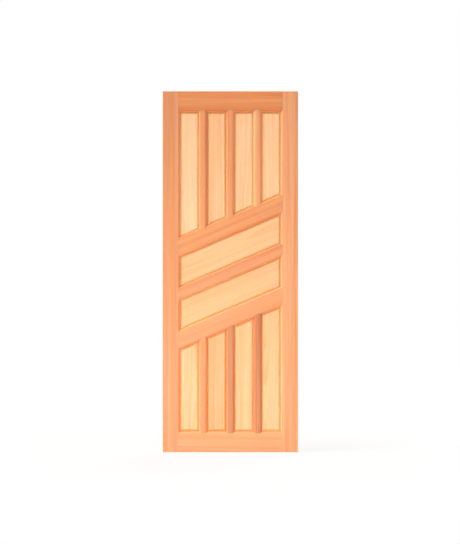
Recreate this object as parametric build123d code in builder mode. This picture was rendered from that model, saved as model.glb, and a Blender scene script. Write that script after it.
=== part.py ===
# Panelled timber exterior door leaf with slanted rails.
# Millimetres: X across the leaf from the hinge edge, Y through its thickness, Z up from its bottom edge.
# The front of the leaf looks towards -Y; front and back are alike.
import os
from math import atan2, cos, degrees, radians, sin

from build123d import *

# Leaf
leaf_width = 762.0
leaf_height = 2032.0
leaf_thickness = 44.0
arris = 1.5  # chamfer along the long outer edges; the ends are cut square, to be trimmed to the opening

# Flat faces of the frame members, measured between their mouldings
stile_face = 86.0
top_rail_face = 105.0
bottom_rail_face = 105.0
outer_diagonal_face = 78.0
middle_diagonal_face = 46.0
mullion_face = 24.0

# Layout
diagonal_slope = 23.0  # degrees above level, rising towards the latch edge
diagonal_spacing = 261.0  # plumb distance between centre lines of neighbouring slanted rails
panel_columns = 4  # upright panels side by side, above and below the slanted rails

# Moulding and groove worked along every inner edge of the frame
quirk = 2.0  # square step down from the face to the round of the moulding
moulding_width = 12.0  # also the radius of the round
groove_width = 12.0
groove_depth = 12.0
tenon_gap = 0.3  # left between the end of a tenon and the bottom of its groove

# Panels
panel_recess = 7.0  # field below the face of the frame
field_step = 1.5  # square shoulder around the field
bevel_width = 10.0
bevel_margin = 1.0  # flat left between the moulding and the foot of the bevel
panel_clearance = 0.25  # on each side of the tongue in its groove
panel_float = 2.0  # room for the panel to swell across the grain

# Derived sizes
half_thickness = leaf_thickness / 2
tongue_half = groove_width / 2 - panel_clearance
bevel_rise = half_thickness - panel_recess - field_step - tongue_half
bevel_taper = degrees(atan2(bevel_width, bevel_rise))
tenon_setback = moulding_width - groove_depth + tenon_gap  # end of a tenon, measured from the face edge
tongue_setback = moulding_width - groove_depth + panel_float  # edge of a tongue, measured likewise
bevel_setback = moulding_width + bevel_margin
field_setback = bevel_setback + bevel_width
opening_left = stile_face
opening_right = leaf_width - stile_face
panel_opening = (opening_right - opening_left - (panel_columns - 1) * mullion_face) / panel_columns
column_pitch = panel_opening + mullion_face

# Directions along and across a slanted rail
along = (cos(radians(diagonal_slope)), 0, sin(radians(diagonal_slope)))
across = (-sin(radians(diagonal_slope)), 0, cos(radians(diagonal_slope)))


def moulded_edge(face_edge):
    # Front half of one inner edge: quirk, round, lip, then the wall of the groove to mid-thickness.
    lip = face_edge + moulding_width
    round_top = half_thickness - quirk
    Line((face_edge, half_thickness), (face_edge, round_top))
    TangentArc((face_edge, round_top), (lip, round_top - moulding_width), tangent=(1, 0))
    Line((lip, round_top - moulding_width), (lip, groove_width / 2))
    Line((lip, groove_width / 2), (lip - groove_depth, groove_width / 2))
    Line((lip - groove_depth, groove_width / 2), (lip - groove_depth, 0))


def edge_member_section(face):
    # Stile or outer rail: square outer edge at local -X, moulded inner edge at local +X.
    with BuildSketch() as section:
        with BuildLine():
            Line((-face / 2, 0), (-face / 2, half_thickness))
            Line((-face / 2, half_thickness), (face / 2, half_thickness))
            moulded_edge(face / 2)
            mirror(about=Plane.XZ)
        make_face()
    return section.sketch


def inner_member_section(face):
    # Slanted rail or mullion: moulded along both edges.
    with BuildSketch() as section:
        with BuildLine():
            Line((0, half_thickness), (face / 2, half_thickness))
            moulded_edge(face / 2)
            mirror(about=Plane.XZ)
            mirror(about=Plane.YZ)
        make_face()
    return section.sketch


def save(solid, label):
    solid.label = label
    export_step(solid, f"parts/{label}.step")


os.makedirs("parts", exist_ok=True)

# Stiles run the full height of the leaf.
with BuildPart() as hinge_stile:
    with BuildSketch(Plane(origin=(stile_face / 2, 0, 0), x_dir=(1, 0, 0), z_dir=(0, 0, 1))):
        add(edge_member_section(stile_face))
    extrude(amount=leaf_height)
    chamfer(hinge_stile.edges().filter_by(Axis.Z).group_by(Axis.X)[0], length=arris)

with BuildPart() as latch_stile:
    with BuildSketch(Plane(origin=(leaf_width - stile_face / 2, 0, 0), x_dir=(-1, 0, 0), z_dir=(0, 0, 1))):
        add(edge_member_section(stile_face))
    extrude(amount=leaf_height)
    chamfer(latch_stile.edges().filter_by(Axis.Z).group_by(Axis.X)[-1], length=arris)

save(hinge_stile.part, "hinge_stile")
save(latch_stile.part, "latch_stile")

# Rails reach from groove to groove; their ends are scribed over the moulding of the stiles.
tenon_left = opening_left + tenon_setback
tenon_right = opening_right - tenon_setback

with BuildPart() as top_rail:
    top_start = (tenon_left, 0, leaf_height - top_rail_face / 2)
    with BuildSketch(Plane(origin=top_start, x_dir=(0, 0, -1), z_dir=(1, 0, 0))):
        add(edge_member_section(top_rail_face))
    extrude(amount=tenon_right - tenon_left)
    add(hinge_stile.part, mode=Mode.SUBTRACT)
    add(latch_stile.part, mode=Mode.SUBTRACT)

with BuildPart() as bottom_rail:
    bottom_start = (tenon_left, 0, bottom_rail_face / 2)
    with BuildSketch(Plane(origin=bottom_start, x_dir=(0, 0, 1), z_dir=(1, 0, 0))):
        add(edge_member_section(bottom_rail_face))
    extrude(amount=tenon_right - tenon_left)
    add(hinge_stile.part, mode=Mode.SUBTRACT)
    add(latch_stile.part, mode=Mode.SUBTRACT)

save(top_rail.part, "top_rail")
save(bottom_rail.part, "bottom_rail")


def slanted_rail(face, middle_height):
    middle = (leaf_width / 2, 0, middle_height)
    with BuildPart() as rail:
        with BuildSketch(Plane(origin=middle, x_dir=across, z_dir=along)):
            add(inner_member_section(face))
        extrude(amount=leaf_width, both=True)
        split(bisect_by=Plane.YZ.offset(tenon_left), keep=Keep.TOP)
        split(bisect_by=Plane.YZ.offset(tenon_right), keep=Keep.BOTTOM)
        add(hinge_stile.part, mode=Mode.SUBTRACT)
        add(latch_stile.part, mode=Mode.SUBTRACT)
    return rail.part


# The middle slanted rail crosses the centre of the leaf, the other two lie evenly above and below it.
middle_height = leaf_height / 2
upper_height = middle_height + diagonal_spacing
lower_height = middle_height - diagonal_spacing
upper_diagonal_rail = slanted_rail(outer_diagonal_face, upper_height)
middle_diagonal_rail = slanted_rail(middle_diagonal_face, middle_height)
lower_diagonal_rail = slanted_rail(outer_diagonal_face, lower_height)

save(upper_diagonal_rail, "upper_diagonal_rail")
save(middle_diagonal_rail, "middle_diagonal_rail")
save(lower_diagonal_rail, "lower_diagonal_rail")


def slanted_edge(height, distance):
    # Face edge of a slanted rail, a distance square to the centre line that crosses mid-width at a height.
    return Plane(origin=(leaf_width / 2, 0, height), x_dir=along, z_dir=across).offset(distance)


# Face edges that bound the panels, each with its normal upwards
top_edge = Plane.XY.offset(leaf_height - top_rail_face)
upper_diagonal_top = slanted_edge(upper_height, outer_diagonal_face / 2)
upper_diagonal_bottom = slanted_edge(upper_height, -outer_diagonal_face / 2)
middle_diagonal_top = slanted_edge(middle_height, middle_diagonal_face / 2)
middle_diagonal_bottom = slanted_edge(middle_height, -middle_diagonal_face / 2)
lower_diagonal_top = slanted_edge(lower_height, outer_diagonal_face / 2)
lower_diagonal_bottom = slanted_edge(lower_height, -outer_diagonal_face / 2)
bottom_edge = Plane.XY.offset(bottom_rail_face)


def mullion(centre, lower_edge, lower_rail, upper_edge, upper_rail):
    # Upright bar between two rails, its ends scribed over their mouldings.
    with BuildPart() as bar:
        with BuildSketch(Plane(origin=(centre, 0, 0), x_dir=(1, 0, 0), z_dir=(0, 0, 1))):
            add(inner_member_section(mullion_face))
        extrude(amount=leaf_height)
        split(bisect_by=lower_edge.offset(tenon_setback), keep=Keep.TOP)
        split(bisect_by=upper_edge.offset(-tenon_setback), keep=Keep.BOTTOM)
        add(lower_rail, mode=Mode.SUBTRACT)
        add(upper_rail, mode=Mode.SUBTRACT)
    return bar.part


for number in range(1, panel_columns):
    mullion_centre = opening_left + number * column_pitch - mullion_face / 2
    upper_bar = mullion(mullion_centre, upper_diagonal_top, upper_diagonal_rail, top_edge, top_rail.part)
    lower_bar = mullion(
        mullion_centre, bottom_edge, bottom_rail.part, lower_diagonal_bottom, lower_diagonal_rail
    )
    save(upper_bar, f"upper_mullion_{number}")
    save(lower_bar, f"lower_mullion_{number}")


def fielded_panel(left, right, lower_edge, upper_edge):
    # Loose panel: a tongue that floats in the grooves, and a bevel up to a raised field on both faces.
    corners = []
    for bound, side in ((lower_edge, left), (lower_edge, right), (upper_edge, right), (upper_edge, left)):
        meeting = bound.intersect(Axis((side, 0, 0), (0, 0, 1)))
        corners.append((side, meeting.Z))
    with BuildPart() as panel:
        with BuildSketch(Plane.XZ.offset(tongue_half)):
            Polygon(*corners, align=None)
            offset(amount=-bevel_setback, kind=Kind.INTERSECTION)
        extrude(amount=bevel_rise)
        draft(panel.faces().filter_by(Axis.Y, reverse=True), Plane.XZ.offset(tongue_half), bevel_taper)
        with BuildSketch(Plane.XZ.offset(tongue_half + bevel_rise)):
            Polygon(*corners, align=None)
            offset(amount=-field_setback, kind=Kind.INTERSECTION)
        extrude(amount=field_step)
        with BuildSketch(Plane.XZ):
            Polygon(*corners, align=None)
            offset(amount=-tongue_setback, kind=Kind.INTERSECTION)
        extrude(amount=tongue_half)
        mirror(about=Plane.XZ)
    return panel.part


for number in range(1, panel_columns + 1):
    panel_left = opening_left + (number - 1) * column_pitch
    panel_right = panel_left + panel_opening
    upper_panel = fielded_panel(panel_left, panel_right, upper_diagonal_top, top_edge)
    lower_panel = fielded_panel(panel_left, panel_right, bottom_edge, lower_diagonal_bottom)
    save(upper_panel, f"upper_panel_{number}")
    save(lower_panel, f"lower_panel_{number}")

upper_slanted_panel = fielded_panel(opening_left, opening_right, middle_diagonal_top, upper_diagonal_bottom)
lower_slanted_panel = fielded_panel(opening_left, opening_right, lower_diagonal_top, middle_diagonal_bottom)

save(upper_slanted_panel, "upper_slanted_panel")
save(lower_slanted_panel, "lower_slanted_panel")
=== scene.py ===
import math
import bpy
from mathutils import Euler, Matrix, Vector


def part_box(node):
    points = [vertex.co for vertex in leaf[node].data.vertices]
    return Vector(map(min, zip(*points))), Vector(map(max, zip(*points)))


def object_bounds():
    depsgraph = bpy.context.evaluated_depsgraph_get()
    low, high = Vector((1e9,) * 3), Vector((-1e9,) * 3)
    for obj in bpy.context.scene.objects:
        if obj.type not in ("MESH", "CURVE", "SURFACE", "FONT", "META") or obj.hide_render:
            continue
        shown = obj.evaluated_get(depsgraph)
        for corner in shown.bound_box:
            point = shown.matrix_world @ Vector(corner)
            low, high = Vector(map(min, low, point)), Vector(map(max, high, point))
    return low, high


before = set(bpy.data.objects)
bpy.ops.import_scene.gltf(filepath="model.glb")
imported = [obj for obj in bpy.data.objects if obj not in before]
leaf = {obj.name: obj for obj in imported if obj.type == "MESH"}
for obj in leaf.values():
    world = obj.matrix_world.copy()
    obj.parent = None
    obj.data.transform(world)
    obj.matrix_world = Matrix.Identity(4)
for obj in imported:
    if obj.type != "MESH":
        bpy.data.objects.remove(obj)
cadLow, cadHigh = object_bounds()  # the leaf as it was built
scene = bpy.context.scene
plainWhite = (1, 1, 1, 1)
print("leaf loaded:", len(leaf), "pieces")


def srgb(red, green, blue):
    # screen colour, 0 to 255, to the linear colour that sockets take
    channels = [value / 255 for value in (red, green, blue)]
    return [c / 12.92 if c <= 0.04045 else ((c + 0.055) / 1.055) ** 2.4 for c in channels]


def newNode(tree, kind, inputs=None, **settings):
    # inputs may be plain values or the output socket of another node
    node = tree.nodes.new(kind)
    for key, value in settings.items():
        setattr(node, key, value)
    for key, value in (inputs or {}).items():
        if isinstance(value, bpy.types.NodeSocket):
            tree.links.new(value, node.inputs[key])
        else:
            node.inputs[key].default_value = value
    return node


def calc(tree, operation, first, second=0.0, third=0.0):
    node = newNode(tree, "ShaderNodeMath", {0: first, 1: second, 2: third}, operation=operation)
    return node.outputs[0]


def vector(tree, operation, first, second=(0, 0, 0), third=(0, 0, 0)):
    node = newNode(tree, "ShaderNodeVectorMath", {0: first, 1: second, 2: third}, operation=operation)
    return node.outputs["Value"] if operation in ("DISTANCE", "LENGTH", "DOT_PRODUCT") else node.outputs[0]


def ramp(tree, value, stops):
    # grey that follows the stops, each a position and its grey
    node = newNode(tree, "ShaderNodeValToRGB", {"Fac": value})
    points = node.color_ramp.elements
    for position, grey in stops[2:]:  # a new ramp has two points already
        points.new(position)
    for point, (position, grey) in zip(points, stops):
        point.position = position
        point.color = (grey, grey, grey, 1)
    return node.outputs["Color"]


def seenByEye(tree):
    # 1 on rays that the eye follows, straight, glossy or through glass; 0 on light that falls on the leaf
    path = newNode(tree, "ShaderNodeLightPath")
    seen = calc(tree, "MAXIMUM", path.outputs["Is Camera Ray"], path.outputs["Is Glossy Ray"])
    return calc(tree, "MAXIMUM", seen, path.outputs["Is Transmission Ray"])


def drawnNoise(tree, grain, name, wood, cut):
    # noise drawn out along the grain; along and across are cells per metre
    along, across = wood[name + "Along"], wood[name + "Across"]
    shift = [cut["seed"] * step for step in wood["seedSteps"]]
    cells = vector(tree, "MULTIPLY_ADD", grain, (along, across, across), shift)
    return newNode(tree, "ShaderNodeTexNoise",
                   {"Vector": cells, "Scale": 1.0, "Detail": wood[name + "Detail"],
                    "Roughness": wood["noiseRoughness"]})


def swing(tree, noise, amount):
    # noise, which runs from 0 to 1, as a swing to either side of nothing
    return calc(tree, "MULTIPLY_ADD", noise.outputs["Fac"], amount, -amount / 2)


def grainSpace(tree, place, cut):
    # X along the grain, centred on the piece
    turn = Euler((0, math.radians(cut["slope"]) + cut["lean"][0], cut["lean"][1]))
    low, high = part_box(cut["node"])
    centre = turn.to_matrix() @ ((low + high) / 2)
    mapped = newNode(tree, "ShaderNodeMapping", {"Vector": place, "Location": -centre, "Rotation": turn})
    return mapped.outputs[0]


def growthRings(tree, grain, wood, cut):
    # rings round a pith line outside or inside the board, so faces, edges and end grain agree
    wander = drawnNoise(tree, grain, "wander", wood, cut)
    sway = vector(tree, "MULTIPLY_ADD", wander.outputs["Color"], (0, wood["wander"], wood["wander"]), grain)
    section = vector(tree, "MULTIPLY", sway, (0, 1, 1))
    aside, behind = cut["pith"]
    radius = vector(tree, "DISTANCE", section, (0, behind, aside))
    weather = newNode(tree, "ShaderNodeTexNoise",  # good and poor years
                      {"W": radius, "Scale": wood["weatherScale"], "Detail": wood["weatherDetail"]},
                      noise_dimensions="1D")
    years = calc(tree, "MULTIPLY_ADD", radius, 1 / wood["ringWidth"], swing(tree, weather, wood["weather"]))
    return ramp(tree, calc(tree, "FRACT", years), wood["ringShape"])


def colourDepth(tree, grain, normal, lateWood, fibres, wood, cut):
    # how deep the colour goes: late wood, bands, streaks and fibres
    depth = calc(tree, "MULTIPLY_ADD", lateWood, wood["ringDepth"], cut["tone"])
    for name in ("band", "streak"):
        noise = drawnNoise(tree, grain, name, wood, cut)
        depth = calc(tree, "ADD", depth, swing(tree, noise, wood[name + "Depth"] * cut["figure"]))
    depth = calc(tree, "ADD", depth, swing(tree, fibres, wood["fibreDepth"]))

    # end grain drinks more of the finish
    slope = math.radians(cut["slope"])
    facing = vector(tree, "DOT_PRODUCT", normal, (math.cos(slope), 0, math.sin(slope)))
    endFrom, endFull = wood["endFacing"]
    endGrain = newNode(tree, "ShaderNodeMapRange",
                       {"Value": calc(tree, "ABSOLUTE", facing), "From Min": endFrom, "From Max": endFull,
                        "To Max": wood["endDepth"]})
    return calc(tree, "ADD", depth, endGrain.outputs["Result"])


def boardColour(tree, depth, normal, wood, cut):
    colour = newNode(tree, "ShaderNodeValToRGB", {"Fac": depth})
    colour.color_ramp.elements.new(0.5)
    for stop, name in zip(colour.color_ramp.elements, ("pale", "middle", "deep")):
        red, green, blue = srgb(*wood[name])
        stop.color = (red, green * (1 - wood["warmGreen"] * cut["warm"]), blue * (1 - cut["warm"]), 1)

    # painted shade and painted light on mouldings and bevels, the surfaces neither flat with the leaf nor
    # square to it: a deeper, redder colour on the frame stands in for the warm shade in its mouldings, a
    # paler one on the panels lifts the shade on their bevels
    square = calc(tree, "ABSOLUTE", vector(tree, "DOT_PRODUCT", normal, (0, 1, 0)))
    paintedShadingMask = ramp(tree, square, wood["paintedShadingShape"])
    tint = vector(tree, "MULTIPLY_ADD", paintedShadingMask, [share - 1 for share in wood["paintedShadingTint"]], (1, 1, 1))
    return vector(tree, "MULTIPLY", colour.outputs["Color"], tint)


def woodMaterial(wood, cut):
    material = bpy.data.materials.new(cut["node"] + "_wood")
    material.use_nodes = True
    tree = material.node_tree
    tree.nodes.clear()
    place = newNode(tree, "ShaderNodeTexCoord")
    normal = place.outputs["Normal"]
    grain = grainSpace(tree, place.outputs["Object"], cut)
    lateWood = growthRings(tree, grain, wood, cut)
    fibres = drawnNoise(tree, grain, "fibre", wood, cut)
    depth = colourDepth(tree, grain, normal, lateWood, fibres, wood, cut)
    colour = boardColour(tree, depth, normal, wood, cut)

    # satin finish, duller where the colour is deep, with the grain just to be felt
    gloss = newNode(tree, "ShaderNodeMapRange",
                    {"Value": depth, "To Min": wood["gloss"][0], "To Max": wood["gloss"][1]})
    relief = calc(tree, "MULTIPLY_ADD", fibres.outputs["Fac"], wood["fibreRelief"], lateWood)
    bump = newNode(tree, "ShaderNodeBump",
                   {"Strength": wood["bumpStrength"], "Distance": wood["bumpHeight"], "Height": relief})
    shader = newNode(tree, "ShaderNodeBsdfPrincipled",
                     {"Base Color": colour, "Roughness": gloss.outputs["Result"],
                      "Normal": bump.outputs["Normal"], "Specular IOR Level": wood["specular"],
                      "Coat Weight": wood["coat"], "Coat Roughness": wood["coatRoughness"],
                      "Subsurface Weight": wood["soak"], "Subsurface Radius": wood["soakColour"],
                      "Subsurface Scale": wood["soakDepth"]})
    newNode(tree, "ShaderNodeOutputMaterial", {"Surface": shader.outputs["BSDF"]})
    return material


def dress(wood, cuts):
    for cut in cuts:
        leaf[cut["node"]].material_slots[0].material = woodMaterial(wood, cut)


# reddish timber of the frame
frameWood = {
    "pale": (240, 186, 138), "middle": (227, 160, 111), "deep": (196, 124, 78),
    "warmGreen": 0.4,  # how much of a piece's warmth is taken from green; all of it is taken from blue
    "ringWidth": 0.0042, "ringDepth": 0.2,
    "ringShape": ((0.0, 0.0), (0.35, 0.1), (0.8, 0.75), (0.92, 1.0), (1.0, 0.0)),
    "weather": 2.5, "weatherScale": 55.0, "weatherDetail": 1.0,
    "wander": 0.012, "wanderAlong": 0.9, "wanderAcross": 7.0, "wanderDetail": 2.0,
    "bandAlong": 0.5, "bandAcross": 26.0, "bandDetail": 2.0, "bandDepth": 0.7,
    "streakAlong": 1.6, "streakAcross": 95.0, "streakDetail": 3.0, "streakDepth": 0.55,
    "fibreAlong": 9.0, "fibreAcross": 700.0, "fibreDetail": 2.0, "fibreDepth": 0.2, "fibreRelief": 0.7,
    "noiseRoughness": 0.55, "seedSteps": (1.0, 1.7, 2.3),
    "endFacing": (0.3, 0.95), "endDepth": 0.3,  # end grain: from a little turned to almost square across it
    # mouldings and bevels of the frame get painted shade: a deeper, redder colour standing in for the warm
    # shade there
    "paintedShadingShape": ((0.0, 0.0), (0.06, 1.0), (0.86, 1.0), (0.97, 0.0)), "paintedShadingTint": (1.20, 0.98, 0.80),
    "gloss": (0.40, 0.56), "specular": 0.3, "coat": 0.08, "coatRoughness": 0.28,
    "bumpStrength": 0.25, "bumpHeight": 0.0003,
    "soak": 0.7, "soakColour": (1.0, 0.35, 0.12), "soakDepth": 0.008,  # light bleeds a little into the wood
}

# pale timber of the panels
panelWood = dict(
    frameWood, pale=(255, 218, 174), middle=(250, 199, 149), deep=(234, 164, 106),
    # the panels' bevels get painted light: a paler colour lifting the shade there
    ringWidth=0.0055, bandAcross=30.0, bandDepth=0.6, streakDepth=0.65, paintedShadingTint=(1.0, 1.10, 1.02),
)

# slope: grain above level in degrees. tone and warm: deeper and redder colour. figure: how strongly bands and
# streaks show. pith: where the heart of the tree lies, aside of and behind the middle of the piece.
# lean: how far the grain runs out of true
level, slanted, upright = 0, 23, 90
stiles = [
    {"node": "hinge_stile", "slope": upright, "tone": 0.40, "warm": 0.0, "figure": 1.0,
     "pith": (0.24, 0.10), "lean": (0.004, 0.006), "seed": 3.1},
    {"node": "latch_stile", "slope": upright, "tone": 0.34, "warm": 0.0, "figure": 1.8,
     "pith": (-0.21, 0.12), "lean": (-0.003, 0.005), "seed": 317.2},
]
rails = [
    {"node": "top_rail", "slope": level, "tone": 0.41, "warm": 0.25, "figure": 1.0,
     "pith": (0.13, 0.09), "lean": (0.006, 0.01), "seed": 11.3},
    {"node": "bottom_rail", "slope": level, "tone": 0.32, "warm": 0.06, "figure": 1.0,
     "pith": (-0.16, 0.08), "lean": (-0.008, 0.008), "seed": 15.9},
]
slantedRails = [
    {"node": "upper_diagonal_rail", "slope": slanted, "tone": 0.27, "warm": 0.14, "figure": 1.2,
     "pith": (0.12, -0.10), "lean": (0.006, -0.008), "seed": 19.2},
    {"node": "middle_diagonal_rail", "slope": slanted, "tone": 0.45, "warm": -0.05, "figure": 1.3,
     "pith": (-0.18, 0.07), "lean": (0.003, 0.006), "seed": 23.6},
    {"node": "lower_diagonal_rail", "slope": slanted, "tone": 0.29, "warm": 0.06, "figure": 1.0,
     "pith": (0.15, 0.11), "lean": (-0.005, 0.009), "seed": 27.4},
]
mullions = [
    {"node": "upper_mullion_1", "slope": upright, "tone": 0.42, "warm": 0.0, "figure": 1.0,
     "pith": (0.15, 0.06), "lean": (0.004, 0.004), "seed": 31.8},
    {"node": "upper_mullion_2", "slope": upright, "tone": 0.40, "warm": 0.0, "figure": 1.0,
     "pith": (-0.19, 0.09), "lean": (0.002, -0.005), "seed": 35.1},
    {"node": "upper_mullion_3", "slope": upright, "tone": 0.06, "warm": 0.0, "figure": 1.0,
     "pith": (0.22, -0.07), "lean": (-0.004, 0.006), "seed": 39.5},
    {"node": "lower_mullion_1", "slope": upright, "tone": 0.43, "warm": 0.14, "figure": 1.0,
     "pith": (-0.16, 0.08), "lean": (0.005, 0.003), "seed": 43.7},
    {"node": "lower_mullion_2", "slope": upright, "tone": 0.78, "warm": -0.14, "figure": 1.0,
     "pith": (0.18, 0.10), "lean": (-0.003, -0.004), "seed": 47.2},
    {"node": "lower_mullion_3", "slope": upright, "tone": 0.86, "warm": -0.2, "figure": 1.0,
     "pith": (-0.23, 0.06), "lean": (0.004, 0.005), "seed": 51.4},
]
uprightPanels = [
    {"node": "upper_panel_1", "slope": upright, "tone": 0.08, "warm": 0.0, "figure": 1.3,
     "pith": (0.05, 0.09), "lean": (0.01, 0.014), "seed": 55.9},
    {"node": "upper_panel_2", "slope": upright, "tone": 0.37, "warm": 0.0, "figure": 1.3,
     "pith": (-0.14, 0.10), "lean": (0.006, -0.01), "seed": 59.3},
    {"node": "upper_panel_3", "slope": upright, "tone": 0.20, "warm": 0.0, "figure": 1.4,
     "pith": (0.02, 0.08), "lean": (-0.008, 0.016), "seed": 63.8},
    {"node": "upper_panel_4", "slope": upright, "tone": 0.26, "warm": 0.0, "figure": 1.4,
     "pith": (-0.17, 0.07), "lean": (0.005, 0.008), "seed": 67.1},
    {"node": "lower_panel_1", "slope": upright, "tone": 0.5, "warm": 0.0, "figure": 0.75,
     "pith": (-0.03, 0.11), "lean": (0.009, -0.015), "seed": 71.6},
    {"node": "lower_panel_2", "slope": upright, "tone": 0.69, "warm": 0.0, "figure": 1.0,
     "pith": (-0.15, 0.08), "lean": (-0.006, 0.01), "seed": 75.2},
    {"node": "lower_panel_3", "slope": upright, "tone": 0.5, "warm": 0.0, "figure": 0.75,
     "pith": (0.12, -0.09), "lean": (0.007, 0.012), "seed": 79.7},
    {"node": "lower_panel_4", "slope": upright, "tone": 0.44, "warm": 0.0, "figure": 0.8,
     "pith": (0.04, 0.10), "lean": (-0.01, 0.016), "seed": 83.4},
]
slantedPanels = [
    {"node": "upper_slanted_panel", "slope": slanted, "tone": 0.43, "warm": 0.0, "figure": 0.7,
     "pith": (0.03, 0.08), "lean": (0.009, 0.014), "seed": 87.9},
    {"node": "lower_slanted_panel", "slope": slanted, "tone": 0.53, "warm": 0.0, "figure": 0.6,
     "pith": (-0.12, 0.10), "lean": (-0.008, 0.012), "seed": 91.3},
]
dress(frameWood, stiles + rails + slantedRails + mullions)
dress(panelWood, uprightPanels + slantedPanels)
print("timber on every piece")


# pale floor under the leaf; the eye sees it white, with the shadow kept close to the leaf
floor = {
    "radius": 2.2, "sides": 96, "drop": 0.001, "colour": (0.72, 0.66, 0.58, 1),
    "shadowReach": (0.4, 1.4), "whiteNear": 0.88,
}
middle = (cadLow + cadHigh) / 2
bpy.ops.mesh.primitive_circle_add(vertices=floor["sides"], radius=floor["radius"], fill_type="NGON",
                                  location=(middle.x, middle.y, cadLow.z - floor["drop"]))
floorObject = bpy.context.object
floorObject.name = "floor"

floorMaterial = bpy.data.materials.new("pale_floor")
floorMaterial.use_nodes = True
tree = floorMaterial.node_tree
tree.nodes.clear()
place = newNode(tree, "ShaderNodeTexCoord")
away = vector(tree, "LENGTH", place.outputs["Object"])
fade = newNode(tree, "ShaderNodeMapRange",
               {"Value": away, "From Min": floor["shadowReach"][0],
                "From Max": floor["shadowReach"][1], "To Min": floor["whiteNear"], "To Max": 1.0},
               interpolation_type="SMOOTHSTEP")
share = calc(tree, "MULTIPLY", seenByEye(tree), fade.outputs["Result"])
matt = newNode(tree, "ShaderNodeBsdfDiffuse", {"Color": floor["colour"]})
white = newNode(tree, "ShaderNodeEmission", {"Color": plainWhite, "Strength": 1.0})
mixed = newNode(tree, "ShaderNodeMixShader", {0: share, 1: matt.outputs[0], 2: white.outputs[0]})
newNode(tree, "ShaderNodeOutputMaterial", {"Surface": mixed.outputs[0]})
floorObject.data.materials.append(floorMaterial)
print("floor laid")


# soft light: a broad key from the left, one like it for the back, a low fill in front, and an even sky
light = {
    "keyTowards": (-2.5, -0.83, 2.1), "keyStrength": 3.7,
    "backTowards": (1.2, 2.0, 1.0), "backStrength": 1.9,
    "spread": 26, "sunColour": (0.96, 1.0, 1.1),
    "fillPlace": (-0.2, -2.0, 0.1), "fillAim": (0.35, 0.0, 0.2), "fillSize": (1.6, 0.5), "fillPower": 25.0,
    "sky": 0.44, "skyColour": (1.3, 1.0, 0.86, 1),
}


def addLamp(name, kind, energy, place, target):
    lamp = bpy.data.lights.new(name, kind)
    lamp.energy = energy
    holder = bpy.data.objects.new(name, lamp)
    holder.location = place
    holder.rotation_euler = (Vector(target) - Vector(place)).to_track_quat("-Z", "Y").to_euler()
    scene.collection.objects.link(holder)
    return holder


for name in ("key", "back"):
    place = middle + Vector(light[name + "Towards"])  # of a sun, only its direction counts
    sun = addLamp(name, "SUN", light[name + "Strength"], place, middle)
    sun.data.color = light["sunColour"]
    sun.data.angle = math.radians(light["spread"])

fill = addLamp("fill", "AREA", light["fillPower"], light["fillPlace"], light["fillAim"])
fill.data.shape = "RECTANGLE"
fill.data.size, fill.data.size_y = light["fillSize"]
fill.visible_camera = False

world = bpy.data.worlds.new("studio")
scene.world = world
world.use_nodes = True
tree = world.node_tree
tree.nodes.clear()
sky = newNode(tree, "ShaderNodeBackground", {"Color": light["skyColour"], "Strength": light["sky"]})
paper = newNode(tree, "ShaderNodeBackground", {"Color": plainWhite, "Strength": 1.0})
mixed = newNode(tree, "ShaderNodeMixShader", {0: seenByEye(tree), 1: sky.outputs[0], 2: paper.outputs[0]})
newNode(tree, "ShaderNodeOutputWorld", {"Surface": mixed.outputs[0]})
print("lights set")


# camera square on to the front, the leaf's height filling its share of the picture
view = {
    "lens": 85.0, "sensor": 36.0,  # millimetres
    "pictureHeight": 544, "leafHeight": 360.9,  # pixels
    "nudge": (-0.002, -0.0016),  # metres across and up
}
cameraData = bpy.data.cameras.new("camera")
cameraData.lens = view["lens"]
cameraData.sensor_width = view["sensor"]
camera = bpy.data.objects.new("camera", cameraData)
scene.collection.objects.link(camera)
shownHeight = (cadHigh.z - cadLow.z) * view["pictureHeight"] / view["leafHeight"]
distance = shownHeight * view["lens"] / view["sensor"]
camera.location = (middle.x + view["nudge"][0], cadLow.y - distance, middle.z + view["nudge"][1])
camera.rotation_euler = (math.radians(90), 0, 0)
scene.camera = camera
scene.view_settings.view_transform = "Standard"
print("camera %.2f m from the leaf" % distance)
